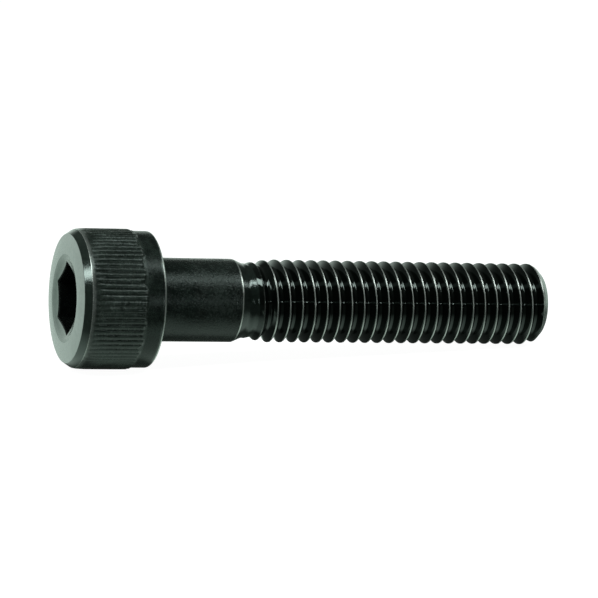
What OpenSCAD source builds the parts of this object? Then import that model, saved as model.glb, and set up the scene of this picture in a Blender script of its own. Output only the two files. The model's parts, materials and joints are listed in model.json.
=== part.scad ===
// Hex socket head cap screw with a knurled head, a plain shank and a coarse
// right-hand thread. All sizes are in millimetres. The screw is drawn along
// its own axis, with the bearing face under the head at zero and the tip at
// the screw's length, and is then laid on its side as it comes to rest.

/* [Head] */
// Diameter of the plain band next to the bearing face
head_d = 12.86; // [12.4:0.02:13]
// Height of the head from the bearing face to its highest ring, round the socket
head_h = 8; // [7:0.05:9]
// Diameter over the tops of the knurl's ridges
ridge_d = 13.2; // [13.1:0.02:13.6]
// Diameter at the bottom of the knurl's grooves
groove_d = 12.72; // [12:0.02:12.8]
// Number of ridges round the head
ridge_count = 75; // [40:1:100]
// Share of each ridge's pitch that its narrow top takes
ridge_top = 0.2; // [0.05:0.05:0.4]
// Length of the plain band between the knurl and the bearing face
band_len = 1.72; // [0.8:0.02:2.6]
// Diameter of the end of the head, inside its bevel
face_d = 12.08; // [11:0.02:12.4]
// How far the end of the head rises from its bevel to the socket
face_rise = 0.2; // [0:0.02:0.3]
// Length of the bevel round the end of the head, along the axis
bevel_len = 0.68; // [0.3:0.02:1.2]
// Length of the slope behind the bevel on which the knurl's grooves begin
rim_len = 0.25; // [0.1:0.05:0.8]
// Width of the small bevel round the bearing face
edge_bevel = 0.25; // [0.1:0.01:0.5]

/* [Socket] */
// Distance across the flats of the hexagonal socket
socket_af = 6; // [5:0.5:7]
// Depth of the socket's flats below the end of the head
socket_depth = 4.5; // [3.5:0.1:5]
// Turn of the socket round the axis, away from a corner at the top
socket_turn = 9.5; // [0:0.5:60]
// Diameter of the round countersink at the socket's mouth
mouth_d = 8.2; // [7:0.02:9]
// Included angle of the countersink
mouth_angle = 146; // [120:2:150]
// Included angle of the cone that the punch leaves at the bottom
floor_angle = 140; // [118:1:170]

/* [Shank] */
// Length of the screw from the bearing face to the tip
screw_len = 40; // [35:1:60]
// Diameter of the plain shank
shank_d = 7.91; // [7.6:0.01:8]
// Radius of the fillet between the shank and the bearing face
fillet_r = 0.45; // [0.2:0.05:0.8]
// Length of the taper from the shank down to the neck
taper_len = 1.1; // [0.8:0.05:2]
// Length of the neck before the thread begins
neck_len = 0.75; // [0.2:0.05:1]
// Diameter of the neck, which is the blank that the thread is rolled on
neck_d = 7.1; // [7:0.02:7.3]

/* [Thread] */
// Diameter over the thread's crests
thread_d = 7.9; // [7.7:0.01:8]
// Distance from one turn of the thread to the next
pitch = 1.25; // [1.15:0.05:1.5]
// Length of full thread, measured back from the tip
thread_len = 28; // [16:1:28]
// Length over which the thread rises out of the neck
runout_len = 1.8; // [1:0.05:2.5]
// Radial depth of the thread
thread_depth = 0.7; // [0.6:0.01:0.74]
// Angle of each flank from the plane across the axis
flank_angle = 30; // [28:1:31]
// Width of the flat on each crest
crest_w = 0.3; // [0.1:0.02:0.34]
// Diameter of the flat end of the tip
tip_d = 6.44; // [6:0.02:6.46]
// Angle of the tip's bevel from the axis
tip_angle = 45; // [30:1:60]
// Turn of the thread round the axis, which sets where each crest lies
thread_turn = 325; // [0:1:359]

/* [Hidden] */
$fn = 96;

head_r = head_d / 2;
ridge_r = ridge_d / 2;
groove_r = groove_d / 2;
face_r = face_d / 2;
mouth_r = mouth_d / 2;
shank_r = shank_d / 2;
neck_r = neck_d / 2;
crest_r = thread_d / 2;
root_r = crest_r - thread_depth;
tip_r = tip_d / 2;

// Places along the axis
face_z = face_rise - head_h;
rim_z = face_z + bevel_len;
band_z = -band_len;
runout_z = screw_len - thread_len - runout_len;
neck_z = runout_z - neck_len;
taper_z = neck_z - taper_len;

// Cuts reach this far past what they cut
clear = 3;
// The rim between the bevel and the knurl stands this far above the ridges
RIM_STEP = 0.01;
// The rim's slope reaches this far below the knurl's grooves
RIM_UNDER = 0.05;
// Facets of the thread in one turn, and points of its section in one pitch
TURN_STEPS = 36;
SECTION_POINTS = 4;
// The thread's plug reaches this far into the neck, this far inside its edge
PLUG_LEN = 0.2;
PLUG_GAP = 0.01;
// A row of the thread is left out where it lies closer than this to an end
MIN_GAP = 0.004;
ARC_STEPS = 6;

// Widths along the axis of one flank and of the thread's section up to each point
flank_w = thread_depth * tan(flank_angle);
section_z = [0, flank_w, flank_w + crest_w, 2 * flank_w + crest_w];
section_r = [root_r, crest_r, crest_r, root_r];

// The screw lies on two ridges at the end of the knurl and on the last full
// crest before the tip's bevel, which tilts its axis down towards the tip.
rest_r = ridge_r * cos(180 / ridge_count * (1 - ridge_top));
bevel_z = screw_len - (crest_r - tip_r) / tan(tip_angle);
knurl_end_z = band_z - (ridge_r - head_r);
tilt = atan((rest_r - crest_r) / (bevel_z - knurl_end_z));
lift = rest_r * cos(tilt) + knurl_end_z * sin(tilt);
// Middle of the lying screw's length, between the top of the head's end and the tip
back_x = min(-head_h * cos(tilt) - mouth_r * sin(tilt), face_z * cos(tilt) - face_r * sin(tilt));
front_x = screw_len * cos(tilt) + tip_r * sin(tilt);
mid_x = (back_x + front_x) / 2;

// Outline of the knurl: narrow ridges with a groove between each pair, and a
// groove at the bottom, where the screw lies.
module knurl_outline() {
  step = 360 / ridge_count;
  half_top = step * ridge_top / 2;
  polygon([
    for (i = [0 : ridge_count - 1])
      let (a = (i + 0.5) * step)
        each [
          [groove_r * cos(a - step / 2), groove_r * sin(a - step / 2)],
          [ridge_r * cos(a - half_top), ridge_r * sin(a - half_top)],
          [ridge_r * cos(a + half_top), ridge_r * sin(a + half_top)]
        ]
  ]);
}

// Turned form that the knurled part of the head keeps inside: its end, which
// rises a little towards the socket, the bevel round it, and the short slope
// on which each ridge ends at the band.
module head_envelope() {
  apex_z = -head_h - face_rise * mouth_r / (face_r - mouth_r);
  bevel_slope = (ridge_r + RIM_STEP - face_r) / bevel_len;
  rotate_extrude()
    polygon([
      [0, apex_z],
      [face_r, face_z],
      [ridge_r + RIM_STEP + clear, rim_z + clear / bevel_slope],
      [ridge_r + clear, knurl_end_z - clear],
      [head_r, band_z],
      [0, band_z]
    ]);
}

// Turned rim that the bevel is cut from, with the slope where the grooves begin
module rim() {
  rotate_extrude()
    polygon([
      [0, -head_h - clear],
      [ridge_r + RIM_STEP, -head_h - clear],
      [ridge_r + RIM_STEP, rim_z + RIM_STEP],
      [groove_r - RIM_UNDER, rim_z + RIM_STEP + rim_len],
      [0, rim_z + RIM_STEP + rim_len]
    ]);
}

module knurled_part() {
  intersection() {
    union() {
      translate([0, 0, -head_h])
        linear_extrude(height = head_h - band_len)
          knurl_outline();
      rim();
    }
    head_envelope();
  }
}

// Plain band, bearing face, fillet, shank, taper and neck, in one outline
module turned_part() {
  rotate_extrude()
    polygon(concat(
      [
        [0, band_z],
        [head_r, band_z],
        [head_r, -edge_bevel],
        [head_r - edge_bevel, 0]
      ],
      [
        for (i = [0 : ARC_STEPS])
          let (a = 90 * i / ARC_STEPS)
            [shank_r + fillet_r * (1 - sin(a)), fillet_r * (1 - cos(a))]
      ],
      [
        [shank_r, taper_z],
        [neck_r, neck_z],
        [neck_r, runout_z],
        [0, runout_z]
      ]
    ));
}

// Hexagonal socket, its shallow round countersink, and the cone at its bottom
module socket_cut() {
  corner_r = socket_af / 2 / cos(30);
  mouth_len = mouth_r / tan(mouth_angle / 2);
  floor_len = socket_af / 2 / tan(floor_angle / 2);
  translate([0, 0, -head_h]) {
    rotate([0, 0, -socket_turn])
      translate([0, 0, -clear])
        cylinder(h = socket_depth + clear, r = corner_r, $fn = 6);
    rotate_extrude()
      polygon([
        [0, -clear],
        [mouth_r + clear * tan(mouth_angle / 2), -clear],
        [0, mouth_len]
      ]);
    translate([0, 0, socket_depth - 0.001])
      rotate_extrude()
        polygon([[0, 0], [socket_af / 2, 0], [0, floor_len]]);
  }
}

// Height of one point of the thread's surface. Rows run along the axis and
// columns round it, and each turn climbs by one pitch.
function row_z(col, row) =
  runout_z - 2 * pitch
  + pitch * (floor(row / SECTION_POINTS) + col / TURN_STEPS)
  + section_z[row % SECTION_POINTS];

// Radius there: the thread grows out of the neck over the run-out and stays
// inside the bevel of the tip.
function row_r(z, row) =
  let (
    share = min(1, max(0, (z - runout_z) / runout_len)),
    full = section_r[row % SECTION_POINTS],
    bevel_r = tip_r + (screw_len - z) * tan(tip_angle)
  )
    min(neck_r + share * (full - neck_r), bevel_r);

module thread_part() {
  row_max = SECTION_POINTS * ceil((thread_len + runout_len) / pitch + 4);
  rows = [
    for (col = [0 : TURN_STEPS - 1])
      [
        for (row = [0 : row_max])
          if (row_z(col, row) > runout_z + 2 * MIN_GAP && row_z(col, row) < screw_len - MIN_GAP)
            row
      ]
  ];
  plug_r = neck_r - PLUG_GAP;
  points = [
    for (col = [0 : TURN_STEPS - 1])
      let (a = 360 * col / TURN_STEPS)
        each [
          [plug_r * cos(a), plug_r * sin(a), runout_z - PLUG_LEN],
          [plug_r * cos(a), plug_r * sin(a), runout_z + MIN_GAP],
          for (row = rows[col])
            let (z = row_z(col, row), r = row_r(z, row))
              [r * cos(a), r * sin(a), z],
          [tip_r * cos(a), tip_r * sin(a), screw_len]
        ]
  ];
  // Where each column's points begin in the list, after the end of its plug
  starts = [
    for (col = 0, at = 1; col < TURN_STEPS; at = at + len(rows[col]) + 3, col = col + 1)
      at
  ];
  faces = concat(
    [
      for (col = [0 : TURN_STEPS - 1])
        let (
          wraps = col == TURN_STEPS - 1,
          next = wraps ? 0 : col + 1,
          shift = wraps ? SECTION_POINTS : 0,
          low = rows[col][0],
          high = rows[col][len(rows[col]) - 1],
          next_low = rows[next][0] - shift,
          next_high = rows[next][len(rows[next]) - 1] - shift,
          here = starts[col] + 1 - low,
          there = starts[next] + 1 - next_low,
          top = starts[col] + 1 + len(rows[col]),
          next_top = starts[next] + 1 + len(rows[next])
        )
          each [
            [starts[col] - 1, starts[col], starts[next]],
            [starts[col] - 1, starts[next], starts[next] - 1],
            [starts[col], there + next_low, starts[next]],
            for (row = [next_low : 1 : low - 1])
              [starts[col], there + row + 1, there + row],
            [starts[col], here + low, there + low],
            for (row = [low : 1 : next_high - 1])
              each [
                [here + row, here + row + 1, there + row + 1],
                [here + row, there + row + 1, there + row]
              ],
            [here + next_high, next_top, there + next_high],
            for (row = [next_high : 1 : high - 1])
              [here + row, here + row + 1, next_top],
            [here + high, top, next_top]
          ]
    ],
    [
      [for (col = [0 : TURN_STEPS - 1]) starts[col] - 1],
      [
        for (col = [TURN_STEPS - 1 : -1 : 0])
          starts[col] + 1 + len(rows[col])
      ]
    ]
  );
  rotate([0, 0, thread_turn])
    polyhedron(points = points, faces = faces, convexity = 10);
}

module cap_screw() {
  color("dimgray")
    translate([-mid_x, 0, lift])
      rotate([0, 90 + tilt, 0])
        difference() {
          union() {
            knurled_part();
            turned_part();
            thread_part();
          }
          socket_cut();
        }
}

cap_screw();
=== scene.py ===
import json
import math

import bmesh
import bpy
from mathutils import Matrix, Quaternion, Vector, noise


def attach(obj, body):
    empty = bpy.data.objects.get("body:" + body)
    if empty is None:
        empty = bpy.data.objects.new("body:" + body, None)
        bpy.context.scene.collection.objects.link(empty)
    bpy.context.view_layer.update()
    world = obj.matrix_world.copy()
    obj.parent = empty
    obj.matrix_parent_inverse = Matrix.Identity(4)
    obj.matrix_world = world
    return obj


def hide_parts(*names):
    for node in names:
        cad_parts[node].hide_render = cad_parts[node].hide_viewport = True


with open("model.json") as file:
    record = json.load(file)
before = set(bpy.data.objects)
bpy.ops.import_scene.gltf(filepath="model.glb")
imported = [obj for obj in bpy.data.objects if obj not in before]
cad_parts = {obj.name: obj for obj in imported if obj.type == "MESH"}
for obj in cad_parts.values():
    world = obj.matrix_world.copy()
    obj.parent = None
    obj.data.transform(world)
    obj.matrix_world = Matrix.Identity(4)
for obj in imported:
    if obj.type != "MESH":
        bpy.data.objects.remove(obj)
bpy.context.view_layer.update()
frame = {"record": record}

MM = 0.001

# The screw's own sizes, in millimetres. Places along the axis are measured
# from the top of the head's end towards the tip, and angles from below.
HEAD_H = 8.0
HEAD_R = 6.43
FACE_R = 6.04
FACE_RISE = 0.2
FACE_CURVE = 1.6
BEVEL_LEN = 0.68
RIM_R = 6.48
RIM_LEN = 0.25
BAND_LEN = 1.72
EDGE_BEVEL = 0.25

# The knurl. Its grooves look shallow in the photograph. Its ridges rise over a
# soft shoulder and fall to the band over a short slope, each where it will.
RIDGE_R = 6.6
GROOVE_R = 6.5
RIDGE_COUNT = 75
RIDGE_WAVE = 0.02
SHOULDER_LEN = 1.0
KNURL_FADE = 0.5
RIDGE_END = 0.24

SOCKET_AF = 6.0
SOCKET_DEPTH = 4.5
SOCKET_TURN = math.radians(9.5)
SOCKET_CORNER = 0.12
# What a rounding takes off the reach of a 120 degree corner
CORNER_SHARE = 0.155
FLOOR_CONE = 1.09
MOUTH_R = 4.1
# The countersink from its edge inwards: (radius, depth)
COUNTERSINK_STEPS = ((4.1, 0.0), (3.77, 0.07), (3.46, 0.22), (2.95, 0.35))

SCREW_LEN = 40.0
SHANK_R = 3.955
FILLET_R = 0.45
TAPER_LEN = 0.95
NECK_LEN = 0.2
NECK_R = 3.55

CREST_R = 3.95
ROOT_R = 3.25
PITCH = 1.25
THREAD_LEN = 28.0
THREAD_TURN = math.radians(325)
RUNOUT_LEN = 1.8
# The first low turns of the run-out reach this far further back over the neck
RUNOUT_REACH = 0.7
CREST_W = 0.3
# The rolled crest is narrower at its very top
CREST_TOP = 0.13
CREST_ROUND = 0.05
ROOT_ROUND = 0.18
FLANK_SLOPE = math.tan(math.radians(30))
# The crest wanders a little along the screw, and further where it was nicked
CREST_WAVE = 0.02
CREST_NICK = 0.12
NICK_FROM = 0.42

TIP_R = 3.2
TIP_EDGE = 0.05
# Near the tip the grooves run out into a plain cone
TIP_PLAIN = 0.8
TIP_WORN = 0.75
# The finishes of the neck and the tip reach over the thread's ends
NECK_FINISH = 0.75
TIP_FINISH = TIP_PLAIN * 0.75

RIM_AT = FACE_RISE + BEVEL_LEN
KNURL_END = HEAD_H - BAND_LEN
LENGTH = HEAD_H + SCREW_LEN
RUNOUT_AT = LENGTH - THREAD_LEN - RUNOUT_LEN
THREAD_START = RUNOUT_AT - RUNOUT_REACH
THREAD_END = LENGTH - TIP_EDGE

# How finely each stretch is divided
RIDGE_STEPS = 8
HEAD_COLUMNS = RIDGE_COUNT * RIDGE_STEPS
SHANK_COLUMNS = 100
BEVEL_STEPS = 4
TAPER_STEPS = 5
SHANK_STEPS = 12

# The camera that was fitted to the photograph: its focal length in pixels of
# the 598-pixel frame, the turn of the screw's axis away from the picture's
# plane, its slope in the picture, and where the middle of the head's end lies
# from the camera, to the right, downwards and ahead, in millimetres.
PHOTO_W = 598
FOCAL_PX = 3300
AXIS_AWAY = math.radians(20.33)
AXIS_SLOPE = math.radians(0.707)
FACE_FROM_CAMERA = (-21.867, -0.059, 307.43)

mounts = {m["name"]: m for m in frame["record"]["mounts"]}
AXIS = Vector(mounts["shank"]["axis"]).normalized()
FACE_CENTRE = Vector(mounts["hex_socket"]["pos_m"])
SIDE = Vector((0, 1, 0))
UP = AXIS.cross(SIDE).normalized()


def place(along, radius, angle):
    """A point of the screw, by its distance from the head's end, its radius and its angle."""
    outward = SIDE * math.sin(angle) - UP * math.cos(angle)
    return FACE_CENTRE + (AXIS * along + outward * radius) * MM


def smooth(x):
    x = min(1.0, max(0.0, x))
    return x * x * (3 - 2 * x)


def mix(a, b, share):
    return a + (b - a) * share


def wander(angle, scale, z):
    """Slow unevenness round the screw, to either side of 0."""
    return noise.noise(Vector((math.cos(angle) * scale, math.sin(angle) * scale, z)))


def rounded(corners, steps=3):
    """An outline with its corners rounded. Each corner is (along, radius, rounding)."""
    outline = []
    for i, (x, y, rounding) in enumerate(corners):
        here = Vector((x, y))
        if rounding == 0 or i in (0, len(corners) - 1):
            outline.append((x, y))
            continue
        back = (Vector(corners[i - 1][:2]) - here).normalized()
        ahead = (Vector(corners[i + 1][:2]) - here).normalized()
        half = back.angle(ahead) / 2
        centre = here + (back + ahead).normalized() * (rounding / math.sin(half))
        start = here + back * (rounding / math.tan(half)) - centre
        end = here + ahead * (rounding / math.tan(half)) - centre
        turn = start.angle_signed(end)
        for k in range(steps + 1):
            arm = start.copy()
            arm.rotate(Matrix.Rotation(-turn * k / steps, 2))
            outline.append(tuple(centre + arm))
    return outline


class Shell:
    """The screw's surface, built ring by ring. Each point carries how worn it is."""

    def __init__(self):
        self.points = []
        self.worn = []
        self.faces = []
        self.zones = []

    def add(self, point, worn=0.0):
        self.points.append(point)
        self.worn.append(worn)
        return len(self.points) - 1

    def ring(self, count, along, radius, worn=0.0):
        """One ring of points. along, radius and worn are numbers, or functions of the angle."""
        indices = []
        for i in range(count):
            angle = 2 * math.pi * i / count
            values = [v(angle) if callable(v) else v for v in (along, radius, worn)]
            indices.append(self.add(place(values[0], values[1], angle), values[2]))
        return indices

    def strip(self, first, second, zone):
        """Faces between two rings. The second may have several times fewer points than the first."""
        ratio = len(first) // len(second)
        for j in range(len(second)):
            here, there = second[j], second[(j + 1) % len(second)]
            fan = [first[(j * ratio + k) % len(first)] for k in range(ratio + 1)]
            if ratio == 1:
                self.face((fan[0], fan[1], there, here), zone)
                continue
            for a, b in zip(fan, fan[1:]):
                self.face((a, b, here), zone)
            self.face((fan[-1], there, here), zone)

    def face(self, corners, zone):
        self.faces.append(corners)
        self.zones.append(zone)

    def cap(self, ring, centre, zone):
        for a, b in zip(ring, ring[1:] + ring[:1]):
            self.face((a, b, centre), zone)


# The zones of the surface, each with a finish of its own; the tones of the head's end and the countersink
# hold a painted sheen, the socket's a painted shade
FACE, BEVEL, KNURL, BAND, EDGE, SHANK, THREAD, SOCKET, COUNTERSINK, NECK, TIP = range(11)


def face_rings(shell):
    """The head's end, curving down from the socket's mouth towards the bevel."""
    rings = []
    for share in (0.02, 0.2, 0.4, 0.6, 0.8, 0.95):
        along = FACE_RISE * share ** FACE_CURVE
        rings.append((shell.ring(HEAD_COLUMNS, along, mix(MOUTH_R, FACE_R, share)), FACE))
    return rings


def bevel_rings(shell):
    """The rounded edge of the head's end, the bevel and its rounded rim."""
    outline = rounded([
        (FACE_RISE * 0.93, mix(MOUTH_R, FACE_R, 0.965), 0),
        (FACE_RISE, FACE_R, 0.06),
        (RIM_AT, RIM_R, 0.12),
        (RIM_AT + RIM_LEN, mix(RIM_R, GROOVE_R, 0.9), 0),
    ], steps=BEVEL_STEPS)[1:-1]
    rings = []
    for k, (along, radius) in enumerate(outline):
        worn = 0.5 if k <= BEVEL_STEPS else 1.0
        zone = FACE if k < BEVEL_STEPS / 2 else BEVEL
        rings.append((shell.ring(HEAD_COLUMNS, along, radius, worn), zone))
        if k == BEVEL_STEPS:
            for share in (0.08, 0.5, 0.92):
                middle = (mix(FACE_RISE, RIM_AT, share), mix(FACE_R, RIM_R, share))
                rings.append((shell.ring(HEAD_COLUMNS, *middle), BEVEL))
    return rings


def ridge_height(angle):
    """From 0 in a groove of the knurl to 1 on a ridge. A groove lies lowest, where the screw rests."""
    turn = (angle * RIDGE_COUNT / (2 * math.pi)) % 1
    return 1 - abs(2 * turn - 1) ** 2


def knurl_r(angle, offset):
    """Radius of the knurl. Behind the rim its ridges rise over a soft shoulder and its grooves deepen."""
    shoulder = max(0.0, 1 - offset / SHOULDER_LEN)
    crown = mix(RIDGE_R, RIM_R, shoulder ** 2)
    depth = (crown - GROOVE_R) * smooth(offset / (SHOULDER_LEN * 0.9))
    return crown - depth * (1 - ridge_height(angle))


def knurl_places():
    """How far behind the rim the knurl's rings lie. They are closest where its ridges begin and end."""
    span = KNURL_END - RIM_AT
    places = [RIM_LEN * k / 5 for k in range(1, 8)]
    places += [mix(places[-1], span - KNURL_FADE, k / 6) for k in range(1, 7)]
    places += [span - KNURL_FADE * (1 - k / 8) for k in range(1, 9)]
    return places


def knurl_ring(shell, offset):
    """One ring of the knurl. It is worn on its shoulder, on its ridges and most where they end."""
    along = RIM_AT + offset
    left = KNURL_END - RIM_AT - offset

    def end_share(angle):
        uneven = max(0.0, 0.1 + 0.5 * wander(angle, 7, 3.0))
        return smooth((left - uneven) / RIDGE_END)

    def radius(angle):
        ridge = knurl_r(angle, offset) + wander(angle, 9, along * 0.8) * RIDGE_WAVE
        return mix(HEAD_R, ridge, end_share(angle))

    def worn(angle):
        top = ridge_height(angle) ** 3
        start = 0.8 * (1 - smooth(offset / 0.7))
        end = 0.5 * smooth((0.6 - left) / 0.3) * top
        return max(start, (0.22 * top + end) * end_share(angle))

    return shell.ring(HEAD_COLUMNS, along, radius, worn)


def band_rings(shell):
    """The plain band and its rounded, worn lower edge, as far as the bearing face."""
    rings = [
        (shell.ring(HEAD_COLUMNS, KNURL_END + 0.08, HEAD_R), BAND),
        (shell.ring(HEAD_COLUMNS, HEAD_H - 0.36, HEAD_R), BAND),
    ]
    edge = rounded([
        (KNURL_END, HEAD_R, 0),
        (HEAD_H, HEAD_R, EDGE_BEVEL * 0.8),
        (HEAD_H, SHANK_R + FILLET_R, 0),
    ], steps=6)[1:-1]
    for k, (along, radius) in enumerate(edge):
        worn = smooth(0.45 + 1.3 * math.sin(math.pi * k / (len(edge) - 1)))
        rings.append((shell.ring(HEAD_COLUMNS, along, radius, worn), EDGE))
    rings.append((shell.ring(HEAD_COLUMNS, HEAD_H, mix(SHANK_R, HEAD_R, 0.6)), BEVEL))
    return rings


def head_rings(shell):
    """The outside of the head. Gives its rings at the socket's mouth and on the bearing face."""
    rings = face_rings(shell) + bevel_rings(shell)
    rings += [(knurl_ring(shell, offset), KNURL) for offset in knurl_places()]
    rings += band_rings(shell)
    for (a, _), (b, zone) in zip(rings, rings[1:]):
        shell.strip(a, b, zone)
    return rings[0][0], rings[-1][0]


def hexagon_r(angle):
    """Distance from the axis to the socket's wall, with small rounded corners."""
    sector = math.pi / 3
    off = (angle + math.pi + SOCKET_TURN) % sector - sector / 2
    flat = SOCKET_AF / 2 / math.cos(off)
    corner = SOCKET_AF / 2 / math.cos(sector / 2) - SOCKET_CORNER * CORNER_SHARE
    return min(flat, corner)


def countersink_depth(radius):
    """How deep the countersink lies below the head's end."""
    for (r0, d0), (r1, d1) in zip(COUNTERSINK_STEPS, COUNTERSINK_STEPS[1:]):
        if radius >= r1:
            return mix(d0, d1, (r0 - radius) / (r0 - r1))
    return COUNTERSINK_STEPS[-1][1]


def socket_rings(shell, mouth):
    """The countersink, the six walls and the bottom of the socket, inwards from the mouth's edge."""
    edge_r = MOUTH_R - 0.02
    rings = [(shell.ring(HEAD_COLUMNS, 0.004, edge_r), COUNTERSINK)]

    def slope_r(angle, share):
        return mix(edge_r, hexagon_r(angle), share)

    for share in (0.06, 0.2, 0.35, 0.5, 0.65, 0.8, 0.97):
        rings.append((
            shell.ring(
                HEAD_COLUMNS,
                lambda angle: countersink_depth(slope_r(angle, share)),
                lambda angle: slope_r(angle, share),
            ),
            COUNTERSINK,
        ))
    wall_shares = (0.015, 0.08, 0.25, 0.5, 0.75, 0.93, 1.0)
    for share in wall_shares:
        rings.append((
            shell.ring(
                HEAD_COLUMNS,
                lambda angle: mix(countersink_depth(hexagon_r(angle)), SOCKET_DEPTH, share),
                hexagon_r,
                0.5 if share == wall_shares[0] else 0.0,
            ),
            SOCKET,
        ))
    for share in (0.97, 0.55, 0.12):
        rings.append((
            shell.ring(
                HEAD_COLUMNS,
                SOCKET_DEPTH + FLOOR_CONE * (1 - share),
                lambda angle: min(hexagon_r(angle), SOCKET_AF / 2) * share,
            ),
            SOCKET,
        ))
    previous = mouth
    for ring, zone in rings:
        shell.strip(ring, previous, zone)
        previous = ring
    centre = shell.add(place(SOCKET_DEPTH + FLOOR_CONE, 0, 0))
    shell.cap(previous[::-1], centre, SOCKET)


def shank_rings(shell, bearing):
    """The fillet, the plain shank, its taper and the neck."""
    neck = THREAD_START - NECK_LEN
    taper = neck - TAPER_LEN
    outline = rounded([
        (HEAD_H, SHANK_R + 2 * FILLET_R, 0),
        (HEAD_H, SHANK_R, FILLET_R),
        (taper, SHANK_R, 0),
    ], steps=6)[:-1]
    outline[0] = (HEAD_H, SHANK_R + FILLET_R + 0.1)
    plain_from = outline[-1][0]
    outline += [(mix(plain_from, taper, k / SHANK_STEPS), SHANK_R) for k in range(1, SHANK_STEPS)]
    edge_at = len(outline)
    outline += rounded([
        (taper - 0.3, SHANK_R, 0),
        (taper, SHANK_R, 0.4),
        (neck, NECK_R, 1.2),
        (THREAD_START, NECK_R, 0),
    ], steps=TAPER_STEPS)[1:]
    previous = bearing
    for k, (along, radius) in enumerate(outline):
        if k <= edge_at:
            worn, zone = 0.4 * smooth((along - HEAD_H - 1) / 3), SHANK
        elif k < edge_at + TAPER_STEPS:
            worn, zone = 1.0, EDGE
        else:
            worn, zone = 0.0, NECK
        ring = shell.ring(SHANK_COLUMNS, along, radius, worn)
        shell.strip(previous, ring, zone)
        previous = ring


def thread_section():
    """One pitch of the thread's outline, with its crest in the middle: (along, radius, worn)."""
    flank = (CREST_R - ROOT_R) * FLANK_SLOPE
    half = PITCH / 2
    top = CREST_TOP / 2
    outline = rounded([
        (-half, ROOT_R, 0),
        (-top - flank, ROOT_R, ROOT_ROUND),
        (-top, CREST_R, CREST_ROUND),
        (top, CREST_R, CREST_ROUND),
        (top + flank, ROOT_R, ROOT_ROUND),
        (half, ROOT_R, 0),
    ], steps=4)[:-1]
    return [(x, r, smooth((r - CREST_R + 0.01) / 0.01)) for x, r in outline]


def thread_climb(column):
    """The share of a pitch that the thread has climbed where a column of its grid stands."""
    angle = 2 * math.pi * column / SHANK_COLUMNS
    return ((angle - THREAD_TURN) / (2 * math.pi)) % 1


def thread_point(z, radius, worn, angle):
    """A point of the thread with its unevenness, faded into the neck and cut down to the tip's cone."""
    share = min(1.0, max(0.0, (z - THREAD_START) / (RUNOUT_LEN + RUNOUT_REACH)))
    limit = TIP_R + LENGTH - z
    wave = wander(angle, 9, z * 2.3)
    z += worn * share * (CREST_WAVE * wave + CREST_NICK * max(0.0, abs(wave) - NICK_FROM))
    plain = smooth((z - THREAD_END + TIP_PLAIN) / (TIP_PLAIN * 0.5))
    cone = mix(ROOT_R, limit, min(1.0, plain * 1.3))
    r = min(max(mix(NECK_R, radius, share), cone), limit)
    if z <= THREAD_START:
        z, r = THREAD_START, NECK_R
    if z >= THREAD_END:
        z, r = THREAD_END, ROOT_R
    return z, r, max(worn, plain * TIP_WORN) * share


def thread_grid(shell):
    """The thread as a grid that climbs one pitch in each turn. Gives its columns of (point, along)."""
    section = thread_section()
    size = len(section)
    flank = (CREST_R - ROOT_R) * FLANK_SLOPE
    first_crest = RUNOUT_AT + flank + CREST_W / 2 - 3 * PITCH
    rows = (math.ceil((THREAD_END - THREAD_START) / PITCH) + 5) * size
    grid = []
    for column in range(SHANK_COLUMNS):
        angle = 2 * math.pi * column / SHANK_COLUMNS
        climb = thread_climb(column)
        line = []
        for row in range(rows):
            along, radius, worn = section[row % size]
            z = first_crest + PITCH * (row // size + climb) + along
            z, r, worn = thread_point(z, radius, worn, angle)
            line.append((shell.add(place(z, r, angle), worn), z))
        grid.append(line)
    return grid, size


def thread_faces(shell, grid, size):
    """Quads of the thread's grid. Where the turn ends, a column meets the first one a pitch further on."""
    for column, line in enumerate(grid):
        beside = (column + 1) % SHANK_COLUMNS
        shift = size if thread_climb(beside) < thread_climb(column) else 0
        other = grid[beside]
        for row in range(len(line) - 1):
            if row + 1 + shift >= len(other):
                break
            corners = [line[row], other[row + shift], other[row + 1 + shift], line[row + 1]]
            places = [z for _, z in corners]
            if max(places) <= THREAD_START or min(places) >= THREAD_END:
                continue
            zone = THREAD
            if max(places) < THREAD_START + NECK_FINISH:
                zone = NECK
            if min(places) > THREAD_END - TIP_FINISH:
                zone = TIP
            shell.face(tuple(i for i, _ in corners), zone)


def tip_rings(shell):
    """The edge and the slightly hollow end of the tip."""
    outline = [(THREAD_END, ROOT_R)] + rounded([
        (THREAD_END, ROOT_R, 0),
        (LENGTH, TIP_R, 0.05),
        (LENGTH, 2.3, 0.5),
        (LENGTH - 0.12, 1.6, 0.8),
        (LENGTH - 0.14, 0.3, 0),
    ], steps=4)[1:]
    previous = None
    for k, (along, radius) in enumerate(outline):
        ring = shell.ring(SHANK_COLUMNS, along, radius, 0.7 if 1 <= k <= 5 else 0.0)
        if previous:
            shell.strip(previous, ring, TIP)
        previous = ring
    centre = shell.add(place(LENGTH - 0.14, 0, 0))
    shell.cap(previous, centre, TIP)


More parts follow.
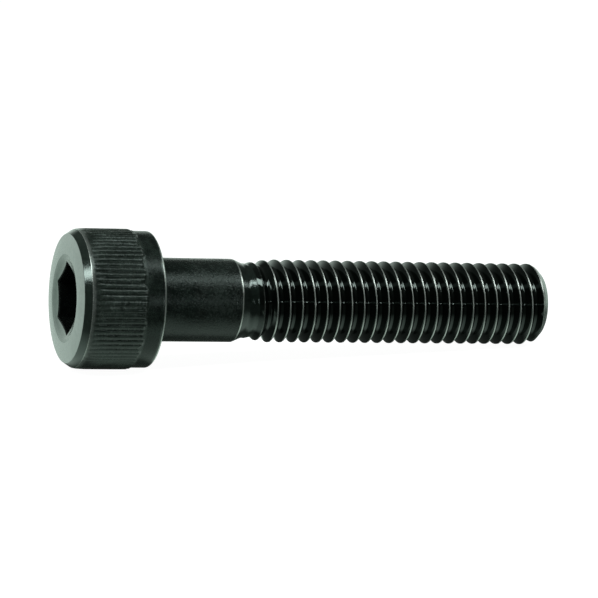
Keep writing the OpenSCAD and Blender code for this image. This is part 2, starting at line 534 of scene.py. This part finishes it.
def make_screw():
    """The whole surface as one closed mesh, with the worn attribute and a finish for each zone."""
    shell = Shell()
    mouth, bearing = head_rings(shell)
    socket_rings(shell, mouth)
    shank_rings(shell, bearing)
    thread_faces(shell, *thread_grid(shell))
    tip_rings(shell)
    mesh = bpy.data.meshes.new("cap_screw_surface")
    mesh.from_pydata(shell.points, [], shell.faces)
    mesh.polygons.foreach_set("material_index", shell.zones)
    worn = mesh.attributes.new("worn", "FLOAT", "POINT")
    worn.data.foreach_set("value", shell.worn)
    # The thread's clamped ends are welded to the neck and the tip
    work = bmesh.new()
    work.from_mesh(mesh)
    bmesh.ops.remove_doubles(work, verts=work.verts, dist=0.0008 * MM)
    loose = [v for v in work.verts if not v.link_faces]
    bmesh.ops.delete(work, geom=loose, context="VERTS")
    bmesh.ops.dissolve_degenerate(work, edges=work.edges, dist=0.0001 * MM)
    bmesh.ops.recalc_face_normals(work, faces=work.faces)
    work.to_mesh(mesh)
    work.free()
    mesh.shade_smooth()
    mesh.set_sharp_from_angle(angle=math.radians(38))
    screw = bpy.data.objects.new("cap_screw_surface", mesh)
    bpy.context.scene.collection.objects.link(screw)
    return screw


class Value:
    """One socket of a material, so that shader maths is written as sums."""

    def __init__(self, graph, socket):
        self.graph = graph
        self.socket = socket

    def _math(self, operation, first, second):
        return self.graph.node("ShaderNodeMath", {"operation": operation}, {0: first, 1: second})

    def __add__(self, other):
        return self._math("ADD", self, other)

    def __radd__(self, other):
        return self._math("ADD", other, self)

    def __sub__(self, other):
        return self._math("SUBTRACT", self, other)

    def __rsub__(self, other):
        return self._math("SUBTRACT", other, self)

    def __mul__(self, other):
        return self._math("MULTIPLY", self, other)

    def __rmul__(self, other):
        return self._math("MULTIPLY", other, self)


class Graph:
    """The nodes of one material."""

    def __init__(self, tree):
        self.tree = tree
        tree.nodes.clear()

    def node(self, kind, settings=None, sockets=None, output=0):
        """A node with its settings and the values or links of its sockets. Gives one of its outputs."""
        made = self.tree.nodes.new(kind)
        for name, value in (settings or {}).items():
            setattr(made, name, value)
        for name, value in (sockets or {}).items():
            if isinstance(value, Value):
                self.tree.links.new(value.socket, made.inputs[name])
            else:
                made.inputs[name].default_value = value
        return Value(self, made.outputs[output]) if made.outputs else None

    def axis(self, name, vector):
        return self.node("ShaderNodeSeparateXYZ", {}, {"Vector": vector}, name)

    def noise(self, scale, detail, roughness, vector):
        sockets = {"Scale": scale, "Detail": detail, "Roughness": roughness, "Vector": vector}
        return self.node("ShaderNodeTexNoise", {"noise_dimensions": "3D"}, sockets)

    def between(self, value, low, high, first=0.0, last=1.0):
        """value from low to high, turned smoothly into first to last."""
        return self.node(
            "ShaderNodeMapRange",
            {"interpolation_type": "SMOOTHSTEP"},
            {"Value": value, "From Min": low, "From Max": high, "To Min": first, "To Max": last},
        )

    def blend(self, share, first, second):
        """Colour mixed from first to second. A Mix node's colour sockets are reached by number."""
        return self.node("ShaderNodeMix", {"data_type": "RGBA"}, {0: share, 6: first, 7: second}, 2)


def millimetres(graph):
    """Points of the screw in millimetres, along and across its own axis."""
    return graph.node(
        "ShaderNodeMapping",
        {"vector_type": "POINT"},
        {
            "Vector": graph.node("ShaderNodeTexCoord", output="Object"),
            "Rotation": (0, -math.atan2(-AXIS.z, AXIS.x), 0),
            "Scale": (1 / MM, 1 / MM, 1 / MM),
        },
    )


BARE_STEEL = (0.45, 0.475, 0.45, 1)
BUMP_DEPTH = 0.02 * MM


def black_oxide(
    name, tone, light_tone, rough, swing, bump, grain,
    ior=1.55, bare=0.3, bare_rough=0.0, tint=0.86,
):
    """Blackened steel under a film of oil. tone and light_tone are its colours, which in some zones hold a
    painted sheen or painted shade, rough and swing its roughness and how far that varies, bump and grain
    the strength and the scale of its texture, bare how much steel shows where it is worn, bare_rough how
    much rougher it is there, and tint how much red the oxide's shine keeps."""
    material = bpy.data.materials.new(name)
    material.use_nodes = True
    graph = Graph(material.node_tree)
    points = millimetres(graph)
    worn = graph.node("ShaderNodeAttribute", {"attribute_name": "worn"}, output="Fac")
    patches = graph.noise(0.45, 3, 0.6, points)
    mottle = graph.noise(2.4, 4, 0.65, points)
    fine = graph.noise(grain, 3, 0.6, points)
    cloud = graph.between(patches * 0.5 + mottle * 0.5, 0.36, 0.66)
    rub = graph.between(worn * (0.4 + (mottle + fine) * 0.55), 0.3, 0.95) * bare
    specks = graph.between(fine, 0.4, 0.7)
    height = graph.between(fine, 0.3, 0.7) * 0.6 + mottle * 0.4
    shader = graph.node(
        "ShaderNodeBsdfPrincipled",
        {},
        {
            "Base Color": graph.blend(rub, graph.blend(cloud, tone, light_tone), BARE_STEEL),
            "Metallic": rub,
            "Roughness": rough + (specks - 0.5) * swing + (cloud - 0.5) * swing + rub * bare_rough,
            "Normal": graph.node(
                "ShaderNodeBump",
                {},
                {"Strength": bump, "Distance": BUMP_DEPTH, "Height": height},
            ),
            "IOR": ior,
            "Specular Tint": (tint, 1.0, 0.5 + tint * 0.52, 1),
        },
    )
    graph.node("ShaderNodeOutputMaterial", {}, {"Surface": shader})
    return material


def screw_materials():
    """The finishes of the screw's zones, in the order of the zones. Some of their tones hold painted sheen
    or shade.
    """
    dark = (0.003, 0.0048, 0.004, 1)
    grey = (0.009, 0.014, 0.0115, 1)
    return [
        # The head's end: oxide whose pale tone is a painted sheen for the backdrop it mirrors at a grazing
        # view, on top of its real shine
        black_oxide(
            "head_end_oxide_painted_sheen", (0.145, 0.163, 0.152, 1), (0.19, 0.21, 0.2, 1),
            0.17, 0.08, 0.25, 11, 2.4, tint=0.94,
        ),
        black_oxide(
            "bevel_oxide", (0.008, 0.012, 0.01, 1), (0.016, 0.023, 0.019, 1),
            0.15, 0.08, 0.15, 10, 1.7, bare=0.6, bare_rough=0.2,
        ),
        black_oxide(
            "knurl_oxide", (0.007, 0.01, 0.0082, 1), (0.021, 0.029, 0.024, 1),
            0.22, 0.16, 0.9, 6, 1.42, bare=0.26, bare_rough=-0.4,
        ),
        black_oxide("band_oxide", dark, (0.012, 0.018, 0.0145, 1), 0.28, 0.1, 0.25, 9, 1.33),
        black_oxide("edge_oxide", dark, grey, 0.2, 0.1, 0.3, 8, bare=1.0, bare_rough=0.2),
        black_oxide("shank_oxide", dark, grey, 0.26, 0.2, 0.9, 6, 1.37, bare=0.22),
        black_oxide(
            "thread_oxide", (0.001, 0.0015, 0.0012, 1), (0.0018, 0.0024, 0.002, 1),
            0.07, 0.04, 0.05, 9, 1.5, bare=0.9, bare_rough=0.35,
        ),
        # The socket: darker than the oxide outside, painted shade in its recess
        black_oxide(
            "socket_oxide_painted_shade", (0.0012, 0.0016, 0.0014, 1), (0.003, 0.004, 0.0035, 1),
            0.25, 0.1, 0.3, 9,
        ),
        # The countersink: oxide whose lighter tone is a painted sheen for the backdrop it mirrors, on top
        # of its real shine
        black_oxide(
            "countersink_oxide_painted_sheen", (0.048, 0.056, 0.051, 1), (0.08, 0.093, 0.085, 1),
            0.2, 0.08, 0.2, 9, 2.0,
        ),
        black_oxide("neck_oxide", dark, grey, 0.12, 0.05, 0.3, 7, 1.6, bare=0.6, bare_rough=0.2),
        black_oxide("tip_oxide", dark, grey, 0.2, 0.08, 0.2, 8, 1.85, bare=0.6, bare_rough=0.3),
    ]


def make_camera():
    """The photograph's camera, set from the fitted direction and place of the screw."""
    across = math.cos(AXIS_AWAY) * math.cos(AXIS_SLOPE)
    upward = -math.cos(AXIS_AWAY) * math.sin(AXIS_SLOPE)
    azimuth = math.acos(across / AXIS.x)
    lean = AXIS.x * math.sin(azimuth)
    elevation = math.asin(upward / math.hypot(lean, AXIS.z)) + math.atan2(-AXIS.z, lean)
    right = Vector((math.cos(azimuth), -math.sin(azimuth), 0))
    ahead = Vector((
        math.sin(azimuth) * math.cos(elevation),
        math.cos(azimuth) * math.cos(elevation),
        -math.sin(elevation),
    ))
    above = right.cross(ahead)
    x, down, depth = (v * MM for v in FACE_FROM_CAMERA)
    data = bpy.data.cameras.new("camera")
    data.sensor_width = 36
    data.lens = FOCAL_PX / PHOTO_W * data.sensor_width
    data.clip_start = 0.01
    data.clip_end = 10
    camera = bpy.data.objects.new("camera", data)
    bpy.context.scene.collection.objects.link(camera)
    camera.rotation_mode = "QUATERNION"
    camera.rotation_quaternion = ahead.to_track_quat("-Z", "Y")
    camera.location = FACE_CENTRE - right * x + above * down - ahead * depth
    bpy.context.scene.camera = camera


def mirrored_floor(graph):
    """How bright the screw sees the floor, by place in metres, all painted shade: in front of the screw it
    is painted dim, below the head a little further out, and under the screw and just behind it lies a
    painted shadow."""
    point = graph.node("ShaderNodeTexCoord", output="Object")
    x = graph.axis("X", point)
    y = graph.axis("Y", point)
    under_head = graph.between(x, -0.0235, -0.0225) * graph.between(x, -0.0145, -0.0115, 1.0, 0.0)
    near_front = graph.between(y + under_head * 0.006, -0.010, -0.0035, 0.07, 0.9)
    far_front = graph.between(y, -0.12, -0.02, 0.35, 1.0)
    edge = y + graph.between(x, -0.0175, -0.0145, 0.0018, 0.0)
    shadow = graph.between(edge, -0.0026, -0.001) * graph.between(y, 0.005, 0.010, 0.92, 0.0)
    return near_front * far_front * (1.0 - graph.between(x, -0.0245, -0.0235) * shadow)


def make_floor():
    """A wide pale floor, plain white to the eye, with painted shade and a painted shadow in what the screw
    mirrors.
    """
    mesh = bpy.data.meshes.new("floor")
    size = 3.0
    corners = [(-size, -size, 0), (size, -size, 0), (size, size, 0), (-size, size, 0)]
    mesh.from_pydata(corners, [], [(0, 1, 2, 3)])
    floor = bpy.data.objects.new("floor", mesh)
    bpy.context.scene.collection.objects.link(floor)
    material = bpy.data.materials.new("floor_paper")
    material.use_nodes = True
    graph = Graph(material.node_tree)
    seen = graph.node("ShaderNodeLightPath", output="Is Camera Ray")
    plain = graph.node("ShaderNodeBsdfDiffuse", {}, {"Color": (0.2, 0.2, 0.2, 1)})
    glow = graph.node("ShaderNodeEmission", {}, {"Color": (1, 1, 1, 1), "Strength": 0.97})
    lit = graph.node("ShaderNodeAddShader", {}, {0: plain, 1: glow})
    # What the screw mirrors of the floor: painted shade, dim in front, with a painted shadow under the
    # screw
    colour = graph.blend(mirrored_floor(graph), (0, 0, 0, 1), (0.83, 1.0, 0.9, 1))
    reflected = graph.node("ShaderNodeEmission", {}, {"Color": colour, "Strength": 1.0})
    shown = graph.node("ShaderNodeMixShader", {}, {0: seen, 1: reflected, 2: lit})
    graph.node("ShaderNodeOutputMaterial", {}, {"Surface": shown})
    mesh.materials.append(material)


def make_surroundings():
    """White to the eye. The screw mirrors a backdrop low behind it and a dark studio above and in front."""
    world = bpy.data.worlds.new("studio")
    bpy.context.scene.world = world
    world.use_nodes = True
    graph = Graph(world.node_tree)
    seen = graph.node("ShaderNodeLightPath", output="Is Camera Ray")
    direction = graph.node("ShaderNodeTexCoord", output="Generated")
    x, y, z = (graph.axis(name, direction) for name in "XYZ")
    low = graph.between(z + x * 0.1, 0.2, 0.5, 1.0, 0.0)
    back = graph.between(y, -0.1, 0.3)
    strength = 0.035 + graph.between(z, 0.3, 0.8) * 0.07 + low * back * 0.95
    sockets = {"Color": (0.85, 1.0, 0.91, 1), "Strength": strength}
    studio = graph.node("ShaderNodeBackground", {}, sockets)
    paper = graph.node("ShaderNodeBackground", {}, {"Color": (1, 1, 1, 1), "Strength": 1.0})
    shown = graph.node("ShaderNodeMixShader", {}, {0: seen, 1: studio, 2: paper})
    graph.node("ShaderNodeOutputWorld", {}, {"Surface": shown})


LIGHT_TINT = (0.92, 1.0, 0.98)
# The strip lights, in metres, watts and degrees: name, place, aim, width, height, power and turn
STRIPS = (
    ("strip_above", (0.58, -0.205, 0.5), (0.58, 0, 0), 0.62, 0.12, 2.3, 0),
    ("strip_between", (0.11, -0.215, 0.5), (0.11, 0, 0), 0.32, 0.12, 0.4, 0),
    ("strip_at_left", (-0.335, -0.25, 0.5), (-0.335, 0, 0), 0.58, 0.17, 3.2, 12),
    ("strip_in_front", (0.15, -0.5, 0.04), (0.15, 0, 0.006), 0.2, 0.01, 0.1, 0),
)


def make_strip(name, place_at, aim, width, height, power, turn):
    data = bpy.data.lights.new(name, "AREA")
    data.shape = "RECTANGLE"
    data.size = width
    data.size_y = height
    data.energy = power
    data.color = LIGHT_TINT
    light = bpy.data.objects.new(name, data)
    bpy.context.scene.collection.objects.link(light)
    light.location = place_at
    light.rotation_mode = "QUATERNION"
    facing = (Vector(aim) - Vector(place_at)).to_track_quat("-Z", "Y")
    light.rotation_quaternion = facing @ Quaternion((0, 0, 1), math.radians(turn))


make_camera()
make_floor()
make_surroundings()
for strip in STRIPS:
    make_strip(*strip)

screw = make_screw()
for material in screw_materials():
    screw.data.materials.append(material)
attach(screw, "root")
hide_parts("cap_screw")

bpy.context.scene.view_settings.view_transform = "Standard"
